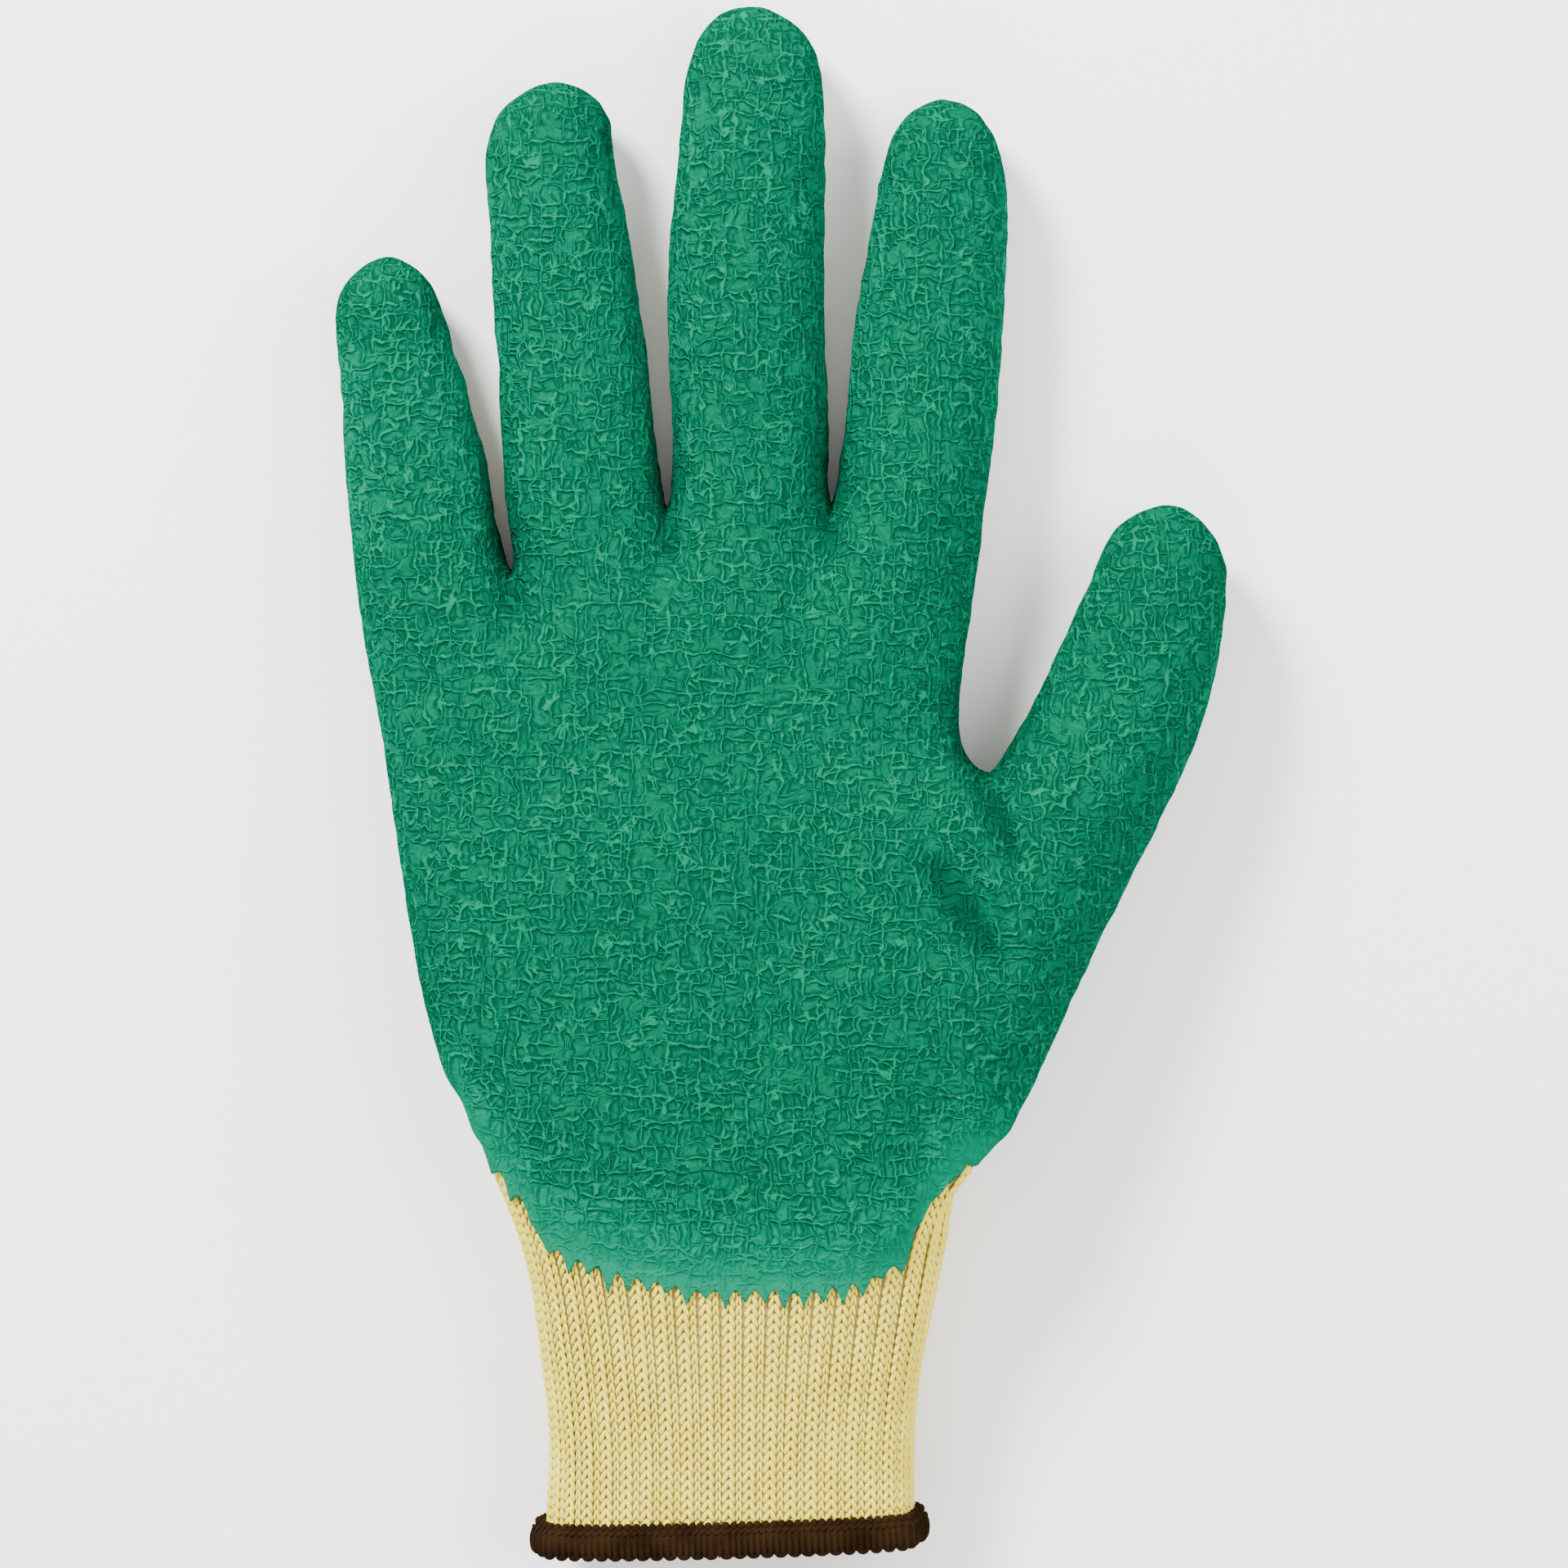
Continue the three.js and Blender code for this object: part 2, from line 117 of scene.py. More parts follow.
# The coat's height over the floor at the glove's sides, how much lower it comes at the tips and at the ends
# of the slits, the way from a tip to where it closes, and how far beside a digit's line that still counts
COAT_SIDE = 4.8
TIP_DROP = 11.0
FORK_DROP = 8.0
COAT_CLOSES = 12.5
DIGIT_REACH = 16.0

# Drips along the coat's lower edge: pitch, shortest and longest, what a few have more, the top and foot of
# their band over the edge, its thickness and what a wale adds to it, and its net
DRIP_PITCH = 3.1
DRIP_LENGTHS = (0.9, 3.4)
DRIP_EXTRA = 1.2
DRIP_BAND = (4.4, 2.4)
DRIP_THICKNESS = (0.26, 0.07)
DRIP_STEP = 0.27
DRIP_ROWS = 8

# Noise in the coat's edge over the wrist, in its edge at the sides and in its relief: amount, scale, offset
WRIST_NOISE = ((0.4, 210.0, 7.0),)
SIDE_NOISE = ((1.3, 190.0, 11.0), (0.5, 600.0, 5.0))
RELIEF_NOISE = ((0.18, 420.0, 0.0), (0.16, 170.0, 5.0))

# How far the coat's inner face reaches into the knit, and the coat's thickness at its very edge
COAT_SINK = 0.02
COAT_EDGE = 0.10

# The knit's pitches, its columns round the cuff, the axis round which its courses lie there, and the rays
# that find each course
WALE_PITCH = 3.25
COURSE_PITCH = 1.56
CUFF_WALES = 43
CUFF_AXIS = (-8.2, 13.0)
CUFF_TOP = -52.0
CUFF_RAYS = 180

# Where the stitches start over the cuff's end, how low the middle of a leg may lie, and its dip at the top
STITCH_START = 3.4
STITCH_FLOOR = 0.56
STITCH_DIP = 0.10

# How deep the knit's ground and its inside lie under the liner's outer face, where the ground starts over
# the cuff's end, and how far it stays back from the coat at the slits' ends
GROUND_SINK = 0.62
INSIDE_SINK = 1.35
GROUND_START = 0.8
GROUND_BACK = 1.8

# The two legs of a stitch in its column: place in the column, half spread, tilt in degrees, sink and size
LEGS = {
    "major": {"column": 0.0, "spread": 0.50, "tilt": 22.0, "sink": 0.40, "size": (0.98, 0.90, 2.70)},
    "minor": {"column": 0.5, "spread": 0.25, "tilt": 10.0, "sink": 0.58, "size": (0.60, 0.70, 2.20)},
}

# The thumb's own knit: a point on its seam with the palm, and its direction in degrees from +Y towards +X
THUMB_SEAM = (33.3, 0.7)
THUMB_TURN = 26.0

# Rows of yarn round the hem: pitch, distance down from its top and out, lean in degrees, and size
HEM_ROWS = {
    "beads": {"pitch": 1.28, "down": 0.85, "out": 0.95, "lean": 14.0, "size": (1.30, 1.40, 1.60)},
    "chain": {"pitch": 1.20, "down": 1.75, "out": 1.75, "lean": 62.0, "size": (0.66, 0.80, 1.40)},
    "wraps": {"pitch": 1.02, "down": 3.65, "out": 1.68, "lean": 0.0, "size": (1.04, 1.50, 4.20)},
    "lip": {"pitch": 2.20, "down": 5.40, "out": 0.90, "lean": 0.0, "size": (2.10, 1.90, 1.50)},
    "inner_wraps": {"pitch": 1.02, "down": 3.65, "out": -1.75, "lean": 0.0, "size": (1.12, 1.30, 4.60)},
}

# The hem's top over the cuff's end and how much wider it is at its two ends, the places round its body,
# the ring that they are taken from and its rounds of smoothing, and the body's section, out and down
HEM_TOP = 5.0
HEM_ENDS = 0.8
HEM_ROLL_PLACES = 200
HEM_DENSE_PLACES = 480
HEM_SMOOTHING = 60
HEM_SECTION = (
    (0.2, 0.5),
    (1.1, 0.7),
    (1.7, 1.6),
    (2.0, 2.6),
    (2.0, 4.2),
    (1.6, 5.2),
    (0.7, 5.6),
    (-1.1, 5.5),
    (-1.8, 4.9),
    (-1.8, 1.8),
    (-1.5, 1.2),
)

# Fingertips: x, y and the digit's direction in degrees from +Y towards +X
TIPS = {
    "little": (-62.9, 84.5, -8.0),
    "ring": (-35.9, 112.3, -5.0),
    "middle": (-4.8, 124.7, 0.0),
    "index": (26.3, 109.7, 3.0),
    "thumb": (63.8, 44.2, 26.0),
}

# Soft folds of the coat: from x, y to x, y, height and half width, in millimetres
FOLDS = {
    "web": ((27.5, -1.0), (38.5, -24.0), 1.9, 2.6),
    "web_upper": ((31.6, 1.5), (37.6, -14.5), -1.5, 2.2),
    "web_lower": ((23.5, -12.5), (34.0, -28.5), -1.5, 2.6),
    "fork_little": ((-43.2, 33.5), (-41.6, 25.0), -1.0, 2.2),
    "fork_ring": ((-18.0, 42.5), (-17.6, 34.0), -1.0, 2.2),
    "fork_middle": ((8.2, 43.5), (8.0, 35.0), -1.0, 2.2),
}

# Small knots of the knit's fingertips, under the coat at the digits' sides: x, y and height, in millimetres
KNOTS = (
    (37.0, 98.1, 1.5),
    (15.4, 95.5, 1.0),
    (-27.2, 105.4, 1.5),
    (72.0, 33.5, 1.4),
)
KNOT_RADIUS = 1.4

# Ends of the slits between the digits, where the coat closes down to the back
FORKS = ((-43.2, 34.2), (-18.0, 43.4), (8.2, 44.2), (33.2, 0.8))


def put(tree, kind, inputs=(), **settings):
    """A node with its settings, and with its inputs set or linked."""
    node = tree.nodes.new(kind)
    for name, value in settings.items():
        setattr(node, name, value)
    for key, value in dict(inputs).items():
        if isinstance(value, bpy.types.NodeSocket):
            tree.links.new(value, node.inputs[key])
        else:
            node.inputs[key].default_value = value
    return node


def math_node(tree, operation, *values, clamp=False):
    return put(tree, "ShaderNodeMath", enumerate(values), operation=operation, use_clamp=clamp).outputs[0]


def product(tree, first, *more):
    for value in more:
        first = math_node(tree, "MULTIPLY", first, value)
    return first


def vector_math(tree, operation, inputs):
    return put(tree, "ShaderNodeVectorMath", inputs, operation=operation).outputs[0]


def ramp(tree, value, low, high, to_low=0.0, to_high=1.0):
    """A smooth step of a value between two others."""
    inputs = {"Value": value, "From Min": low, "From Max": high, "To Min": to_low, "To Max": to_high}
    return put(tree, "ShaderNodeMapRange", inputs, interpolation_type="SMOOTHSTEP").outputs["Result"]


def colour_mix(tree, share, first, second):
    """A share of the second colour in the first: sockets 0, 6 and 7 of the node, and its colour output."""
    return put(tree, "ShaderNodeMix", {0: share, 6: first, 7: second}, data_type="RGBA").outputs[2]


def noise_value(tree, vector, scale, detail=2.0):
    inputs = {"Vector": vector, "Scale": scale, "Detail": detail}
    return put(tree, "ShaderNodeTexNoise", inputs).outputs["Fac"]


def new_group(name, inputs, outputs):
    """A shader node group with named sockets, and its input and output nodes."""
    tree = bpy.data.node_groups.new(name, "ShaderNodeTree")
    for label, kind, value in inputs:
        socket = tree.interface.new_socket(name=label, in_out="INPUT", socket_type="NodeSocket" + kind)
        if value is not None:
            socket.default_value = value
    for label, kind in outputs:
        tree.interface.new_socket(name=label, in_out="OUTPUT", socket_type="NodeSocket" + kind)
    return tree, tree.nodes.new("NodeGroupInput").outputs, tree.nodes.new("NodeGroupOutput").inputs


def wandering(tree, vector, scale, reach):
    """A vector pushed about by noise, as far as the reach, so that what is drawn with it bends."""
    inputs = {"Vector": vector, "Scale": scale, "Detail": 1.0}
    push = put(tree, "ShaderNodeTexNoise", inputs).outputs["Color"]
    centred = vector_math(tree, "SUBTRACT", {0: push, 1: (0.5, 0.5, 0.5)})
    step = vector_math(tree, "SCALE", {0: centred, "Scale": reach * MM})
    return vector_math(tree, "ADD", {0: vector, 1: step})


def ridge_and_trough(tree, away, width, there):
    """A ridge where a distance is near zero, and the wider trough that holds it, as strong as a mask."""
    half = width * MM
    ridge = product(tree, ramp(tree, away, half, 0.0), there)
    return ridge, product(tree, ramp(tree, away, 2.6 * half, 1.1 * half), there)


def straight_ridges(tree, vector, axis, pitch, width, stretch):
    """Ridges a pitch apart across one axis, in stretches that start and stop."""
    across = put(tree, "ShaderNodeSeparateXYZ", {0: vector}).outputs[axis]
    away = math_node(tree, "PINGPONG", across, pitch * MM / 2)
    stretched = vector_math(tree, "MULTIPLY", {0: vector, 1: stretch})
    there = ramp(tree, noise_value(tree, stretched, 1.0, 1.0), 0.43, 0.50)
    return ridge_and_trough(tree, away, width, there)


def cell_ridges(tree, vector, scale, width, cover):
    """Ridges along the walls between cells: full where noise is over the cover, and faint elsewhere."""
    inputs = {"Vector": vector, "Scale": scale}
    wall = put(tree, "ShaderNodeTexVoronoi", inputs, feature="DISTANCE_TO_EDGE").outputs["Distance"]
    there = ramp(tree, noise_value(tree, vector, 300.0, 1.0), cover, cover + 0.10, 0.25, 1.0)
    return ridge_and_trough(tree, product(tree, wall, 1.0 / scale), width, there)


def crinkle_group():
    """Thin crooked ridges of dried latex, along two axes and round cells, over soft swells and ribs."""
    tree, given, result = new_group(
        "Crinkle",
        [("Vector", "Vector", None), ("Scale", "Float", 1.0)],
        [("Height", "Float"), ("Ridge", "Float"), ("Valley", "Float")],
    )
    vector = vector_math(tree, "SCALE", {0: given["Vector"], "Scale": given["Scale"]})
    crooked = vector
    for bend in BENDS:
        crooked = wandering(tree, crooked, *bend)
    layers = [straight_ridges(tree, crooked, axis, *values) for axis, values in RIDGES.items()]
    ridge, trough = cell_ridges(tree, crooked, *CELLS)
    for more_ridge, more_trough in layers:
        ridge = math_node(tree, "MAXIMUM", ridge, more_ridge)
        trough = math_node(tree, "MAXIMUM", trough, more_trough)
    # The trough beside each ridge, which the latex's colour darkens as painted shade
    valley = math_node(tree, "SUBTRACT", trough, ridge, clamp=True)
    side = put(tree, "ShaderNodeSeparateXYZ", {0: wandering(tree, vector, *RIB_BEND)}).outputs["X"]
    rib = math_node(tree, "SINE", product(tree, side, 2 * math.pi / (RIB_PITCH * MM)))
    rib = product(tree, rib, ramp(tree, noise_value(tree, vector, 150.0, 1.0), 0.45, 0.62))
    swell = noise_value(tree, vector, 420.0, 3.0)
    soft = math_node(tree, "MULTIPLY_ADD", swell, 0.6, product(tree, rib, 0.10))
    tree.links.new(math_node(tree, "ADD", ridge, soft), result["Height"])
    tree.links.new(ridge, result["Ridge"])
    tree.links.new(valley, result["Valley"])
    return tree


def new_material(name):
    material = bpy.data.materials.new(name)
    material.use_nodes = True
    return material, material.node_tree, material.node_tree.nodes["Principled BSDF"]


def object_vector(tree):
    return put(tree, "ShaderNodeTexCoord").outputs["Object"]


def set_bump(tree, shader, height, distance):
    inputs = {"Height": height, "Distance": distance, "Strength": 1.0}
    normal = put(tree, "ShaderNodeBump", inputs).outputs["Normal"]
    tree.links.new(normal, shader.inputs["Normal"])


def latex_material():
    material, tree, shader = new_material("crinkled_latex")
    vector = object_vector(tree)
    group = put(tree, "ShaderNodeGroup", node_tree=crinkle_group())
    tree.links.new(vector, group.inputs["Vector"])
    group.inputs["Scale"].default_value = CRINKLE_SCALE
    edge = put(tree, "ShaderNodeAttribute", attribute_name="edge").outputs["Fac"]
    patches = ramp(tree, noise_value(tree, vector, 42.0, 3.0), 0.35, 0.65)
    body = colour_mix(tree, patches, LATEX["body"], LATEX["patches"])
    base = colour_mix(tree, ramp(tree, edge, 16.0 * MM, 1.0 * MM), body, LATEX["edge"])
    # Painted shade in the troughs beside the ridges and a painted highlight on their crests, both weaker
    # near the coat's edge
    painted_light_share = ramp(tree, edge, 0.0, 9.0 * MM, 0.2, 1.0)
    hollow = product(tree, group.outputs["Valley"], painted_light_share, 0.72)
    shaded = colour_mix(tree, hollow, base, LATEX["hollow"])
    highlight_share = product(tree, math_node(tree, "POWER", group.outputs["Ridge"], 1.3), painted_light_share, 0.5)
    ridged = colour_mix(tree, highlight_share, shaded, LATEX["crest_highlight"])
    # Painted shade in the folds' creases and on the slits' walls
    crease_shade = put(tree, "ShaderNodeAttribute", attribute_name="crease_shade").outputs["Fac"]
    crease_shaded = colour_mix(tree, product(tree, crease_shade, 0.55), ridged, LATEX["crease_shade"])
    tree.links.new(crease_shaded, shader.inputs["Base Color"])
    shader.inputs["Roughness"].default_value = 0.6
    shader.inputs["Specular IOR Level"].default_value = 0.0
    calm = ramp(tree, edge, 0.0, 10.0 * MM, 0.30, 1.0)
    set_bump(tree, shader, product(tree, group.outputs["Height"], calm), CRINKLE_RELIEF * MM)
    return material


def yarn_material(name):
    """Spun yarn: two tones in patches, with fine fibres."""
    low, high = YARNS[name]
    material, tree, shader = new_material(name)
    vector = object_vector(tree)
    tone = ramp(tree, noise_value(tree, vector, 160.0, 4.0), 0.3, 0.7)
    colour = colour_mix(tree, tone, low, high)
    fibres = noise_value(tree, vector, 3600.0, 3.0)
    darker = product(tree, ramp(tree, fibres, 0.55, 0.35), 0.25)
    shade = (*(0.6 * c for c in low[:3]), 1)
    tree.links.new(colour_mix(tree, darker, colour, shade), shader.inputs["Base Color"])
    shader.inputs["Roughness"].default_value = 0.95
    shader.inputs["Specular IOR Level"].default_value = 0.03
    set_bump(tree, shader, fibres, 0.10 * MM)
    return material


def smoothed(mesh, count=None):
    """The mesh with its first faces, or all of them, shaded smooth."""
    count = len(mesh.polygons) if count is None else count
    mesh.polygons.foreach_set("use_smooth", np.arange(len(mesh.polygons)) < count)
    return mesh


def link(name, mesh, material):
    """A new object of the glove, at the origin, that rides with it."""
    item = bpy.data.objects.new(name, mesh)
    bpy.context.scene.collection.objects.link(item)
    mesh.materials.clear()
    mesh.materials.append(material)
    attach(item, "root")
    return item


def points_of(mesh):
    points = np.empty(len(mesh.vertices) * 3, np.float32)
    mesh.vertices.foreach_get("co", points)
    return points.reshape(-1, 3).astype(float)


def quads_of(mesh):
    corners = np.empty(len(mesh.loops), np.int32)
    mesh.loops.foreach_get("vertex_index", corners)
    return corners.reshape(-1, 4)


def mesh_of(name, points, faces):
    mesh = bpy.data.meshes.new(name)
    mesh.vertices.add(len(points))
    mesh.vertices.foreach_set("co", np.asarray(points, np.float32).ravel())
    faces = np.asarray(faces, np.int32)
    mesh.loops.add(faces.size)
    mesh.loops.foreach_set("vertex_index", faces.ravel())
    mesh.polygons.add(len(faces))
    mesh.polygons.foreach_set("loop_start", np.arange(0, faces.size, faces.shape[1], dtype=np.int32))
    mesh.update(calc_edges=True)
    mesh.validate()
    return mesh


def edges_of(quads):
    """Each quad's edges, in its direction."""
    return np.concatenate([quads[:, [k, (k + 1) % 4]] for k in range(4)])


def total_at(indices, values, count):
    """Values added up at their indices, one column at a time."""
    return np.stack([np.bincount(indices, values[:, k], count) for k in range(values.shape[1])], axis=1)


def normals_of(points, quads):
    cross = np.cross(points[quads[:, 2]] - points[quads[:, 0]], points[quads[:, 3]] - points[quads[:, 1]])
    summed = total_at(quads.ravel(), np.repeat(cross, 4, axis=0), len(points))
    return summed / np.maximum(np.linalg.norm(summed, axis=1, keepdims=True), 1e-12)


def relaxed(values, quads, rounds, share=0.5):
    """Values at the points of a quad mesh, each moved towards its neighbours' mean."""
    ends = edges_of(quads)
    count = np.bincount(ends[:, 0], minlength=len(values))[:, None]
    for _ in range(rounds):
        mean = total_at(ends[:, 0], values[ends[:, 1]], len(values)) / np.maximum(count, 1)
        values = values + share * (mean - values)
    return values


def smoothstep(value, low, high):
    share = np.clip((value - low) / (high - low), 0.0, 1.0)
    return share * share * (3.0 - 2.0 * share)


def with_noise(values, points, layers):
    """Values with layers of noise added at their points, each with a wavelength of about 1 / scale."""
    for amount, scale, offset in layers:
        push = Vector((offset, 0, 0))
        values = values + amount * np.array([noise.noise(Vector(p) * scale + push) for p in points])
    return values


def evaluated_mesh(item):
    bpy.context.view_layer.update()
    graph = bpy.context.evaluated_depsgraph_get()
    return bpy.data.meshes.new_from_object(item.evaluated_get(graph))


def liner_skin():
    """The outer face of the frame's liner as a closed cage, 8 mm longer at the cuff, and its end ring."""
    cage = bmesh.new()
    cage.from_mesh(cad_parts["knit_liner"].data)
    bmesh.ops.remove_doubles(cage, verts=cage.verts, dist=0.001 * MM)
    cage.normal_update()
    end = min(v.co.y for v in cage.verts)
    rim = [f for f in cage.faces if f.normal.y < -0.8 and f.calc_center_median().y < end + 4 * MM]
    bmesh.ops.delete(cage, geom=rim, context="FACES_ONLY")
    left = set(cage.verts)
    islands = []
    while left:
        found = {left.pop()}
        waiting = list(found)
        while waiting:
            near = {e.other_vert(v) for v in [waiting.pop()] for e in v.link_edges} & left
            left -= near
            found |= near
            waiting.extend(near)
        islands.append(found)
    outer = max(islands, key=lambda island: max(v.co.z for v in island))
    bmesh.ops.delete(cage, geom=[v for v in cage.verts if v not in outer], context="VERTS")
    any_angle = {"angle_face_threshold": math.pi, "angle_shape_threshold": math.pi}
    bmesh.ops.join_triangles(cage, faces=cage.faces[:], **any_angle)
    opening = [e for e in cage.edges if e.is_boundary]
    end_ring = np.array([list(v.co) for v in {v for e in opening for v in e.verts}])
    grown = bmesh.ops.extrude_edge_only(cage, edges=opening)["geom"]
    for vert in (g for g in grown if isinstance(g, bmesh.types.BMVert)):
        vert.co.y -= 8 * MM
    bmesh.ops.holes_fill(cage, edges=[e for e in cage.edges if e.is_boundary], sides=0)
    bmesh.ops.recalc_face_normals(cage, faces=cage.faces)
    angle = np.arctan2(end_ring[:, 2] - CUFF_AXIS[1] * MM, end_ring[:, 0] - CUFF_AXIS[0] * MM)
    return cage, end_ring[np.argsort((math.pi / 2 - angle) % (2 * math.pi))]


def cuff_end_ring():
    cage, end_ring = liner_skin()
    cage.free()
    return end_ring


def hand_form(voxel):
    """The liner's outer face as an even net of quads: smooth, through the frame's own corners."""
    cage, _ = liner_skin()
    mesh = bpy.data.meshes.new("form")
    cage.to_mesh(mesh)
    cage.free()
    item = bpy.data.objects.new("form", mesh)
    bpy.context.scene.collection.objects.link(item)
    rounding = item.modifiers.new("Rounding", "SUBSURF")
    rounding.levels = rounding.render_levels = 1
    target = points_of(mesh)
    control = target.copy()
    for _ in range(4):
        mesh.vertices.foreach_set("co", control.astype(np.float32).ravel())
        mesh.update()
        reached = evaluated_mesh(item)
        control += 0.8 * (target - points_of(reached)[: len(target)])
        bpy.data.meshes.remove(reached)
    mesh.vertices.foreach_set("co", control.astype(np.float32).ravel())
    mesh.update()
    rounding.levels = rounding.render_levels = 3
    net = item.modifiers.new("Net", "REMESH")
    net.mode = "VOXEL"
    net.voxel_size = voxel
    dense = evaluated_mesh(item)
    points, quads = points_of(dense), quads_of(dense)
    bpy.data.meshes.remove(dense)
    bpy.data.objects.remove(item)
    bpy.data.meshes.remove(mesh)
    points = relaxed(points, quads, 8)
    points[:, 2] = np.maximum(points[:, 2], 0.0)
    return points, quads


def plan_axes(turn):
    """The directions right and up in plan, turned in degrees from +Y towards +X."""
    angle = math.radians(turn)
    return np.array([math.cos(angle), -math.sin(angle)]), np.array([math.sin(angle), math.cos(angle)])


def along_tips(points):
    """How far, in millimetres, each point lies past the line where the coat closes round its digit."""
    best = np.full(len(points), -99.0)
    for x, y, turn in TIPS.values():
        _, way = plan_axes(turn)
        offset = points[:, :2] / MM - np.array([x, y])
        along = offset @ way
        across = np.abs(offset[:, 0] * way[1] - offset[:, 1] * way[0])
        best = np.where(across < DIGIT_REACH, np.maximum(best, along + COAT_CLOSES), best)
    return best


def fork_distance(points):
    """How far, in millimetres in plan, each point lies from the nearest slit's end."""
    return np.min([np.linalg.norm(points[:, :2] / MM - fork, axis=1) for fork in FORKS], axis=0)


def coat_depth(points):
    """How far, in metres, each point lies inside the coat's edge. It is negative on bare knit."""
    x, y, z = (points / MM).T
    wrist = with_noise(EDGE_SLOPE * (y - np.interp(x, EDGE_X, EDGE_Y) - EDGE_LIFT), points, WRIST_NOISE)
    at_tip = smoothstep(along_tips(points), -5.0, 3.0)
    at_fork = smoothstep(-fork_distance(points), -9.0, -4.0)
    low_edge = COAT_SIDE - TIP_DROP * at_tip - FORK_DROP * at_fork
    return np.minimum(wrist, with_noise(z - low_edge, points, SIDE_NOISE)) * MM


def fold_height(points, normals):
    """Height of the coat's soft folds over the palm, in metres, and the share of painted shade at each
    point: in the folds' creases and on the slits' walls.
    """
    height = np.zeros(len(points))
    front = smoothstep(normals[:, 2], 0.35, 0.75)
    for start, end, tall, half_width in FOLDS.values():
        a, b = np.array(start) * MM, np.array(end) * MM
        share = np.clip((points[:, :2] - a) @ (b - a) / ((b - a) @ (b - a)), 0.0, 1.0)
        away = np.linalg.norm(points[:, :2] - a - share[:, None] * (b - a), axis=1)
        fade = np.sin(np.pi * np.clip(share * 0.9 + 0.05, 0, 1)) ** 0.5
        height += tall * MM * fade * np.exp(-((away / (half_width * MM)) ** 2))
    # Painted shade in the folds' creases, and on the steep walls of the slits near their ends
    crease_shade = smoothstep(-height / MM, 0.1, 1.1) * front
    walls = smoothstep(-normals[:, 2], -0.8, -0.1) * smoothstep(-fork_distance(points), -26.0, -5.0)
    return np.maximum(height, -0.9 * MM) * front, np.maximum(crease_shade, walls)


def border_of(quads):
    """The edges that only one quad uses, in its direction."""
    edges = edges_of(quads)
    size = int(quads.max()) + 1
    forward, backward = edges[:, 0] * size + edges[:, 1], edges[:, 1] * size + edges[:, 0]
    return edges[~np.isin(forward, backward)]


def shell_mesh(name, outer, inner, quads):
    """A closed shell between two layers of the same net."""
    count = len(outer)
    rim = border_of(quads)
    sides = np.stack([rim[:, 1], rim[:, 0], rim[:, 0] + count, rim[:, 1] + count], axis=1)
    faces = np.concatenate([quads, quads[:, ::-1] + count, sides])
    return smoothed(mesh_of(name, np.concatenate([outer, inner]), faces), len(quads))


def used_only(quads, *columns):
    """The quads renumbered over the points that they use, with those points' values."""
    used, renumbered = np.unique(quads, return_inverse=True)
    return renumbered.reshape(quads.shape), *(column[used] for column in columns)


def snapped_to_edge(points, quads, depth):
    """Points just inside the line where the depth is zero, moved onto it."""
    edges = edges_of(quads)
    cut = edges[(depth[edges[:, 0]] > 0) & (depth[edges[:, 1]] <= 0)]
    share = depth[cut[:, 0]] / (depth[cut[:, 0]] - depth[cut[:, 1]])
    moves = (points[cut[:, 1]] - points[cut[:, 0]]) * share[:, None]
    count = np.bincount(cut[:, 0], minlength=len(points))[:, None]
    return points + total_at(cut[:, 0], moves, len(points)) / np.maximum(count, 1)


def closed_curve(points, count):
    """Points an equal way apart along the smooth closed curve through the given ones."""
    steps = np.linspace(0, 1, 9)[:-1, None, None]
    before, after, far = np.roll(points, 1, 0), np.roll(points, -1, 0), np.roll(points, -2, 0)
    dense = 0.5 * (
        2 * points
        + (after - before) * steps
        + (2 * before - 5 * points + 4 * after - far) * steps**2
        + (3 * points - before - 3 * after + far) * steps**3
    )
    dense = dense.transpose(1, 0, 2).reshape(-1, 3)
    dense = np.concatenate([dense, dense[:1]])
    way = np.concatenate([[0], np.cumsum(np.linalg.norm(np.diff(dense, axis=0), axis=1))])
    places = np.linspace(0, way[-1], count, endpoint=False)
    return np.stack([np.interp(places, way, dense[:, k]) for k in range(3)], axis=1)


def unit(vectors):
    return vectors / np.maximum(np.linalg.norm(vectors, axis=-1, keepdims=True), 1e-9)


def euler_angles(across, outward, along):
    """XYZ angles of the turns that carry X, Y and Z to the three given directions."""
    x = np.arctan2(outward[:, 2], along[:, 2])
    y = -np.arcsin(np.clip(across[:, 2], -1, 1))
    z = np.arctan2(across[:, 1], across[:, 0])
    return np.stack([x, y, z], axis=1)


def strand_frame(across, outward, along, lean):
    """Directions of a strand that leans, in degrees, from along towards across."""
    turn = np.radians(lean)[:, None]
    way = unit(along * np.cos(turn) + across * np.sin(turn))
    side = unit(np.cross(outward, way))
    return side, np.cross(way, side), way


def stitch_legs(places, across, outward, along):
    """Strands, as places, angles and sizes, for a stitch at each place: two legs that meet at its top."""
    made = []
    for side, leg in itertools.product((-1.0, 1.0), LEGS.values()):
        shift = (leg["column"] * WALE_PITCH + side * leg["spread"]) * MM
        centre = places + across * shift - outward * leg["sink"] * MM
        tipped = unit(along - STITCH_DIP * outward)
        lean = np.full(len(places), -side * leg["tilt"])
        frame_of_leg = strand_frame(across, unit(outward + STITCH_DIP * along), tipped, lean)
        size = np.tile(np.array(leg["size"]) * MM / 2, (len(places), 1))
        made.append(np.concatenate([centre, euler_angles(*frame_of_leg), size], axis=1))
    strands = np.concatenate(made)
    strands[:, 2] = np.maximum(strands[:, 2], STITCH_FLOOR * MM)
    return strands


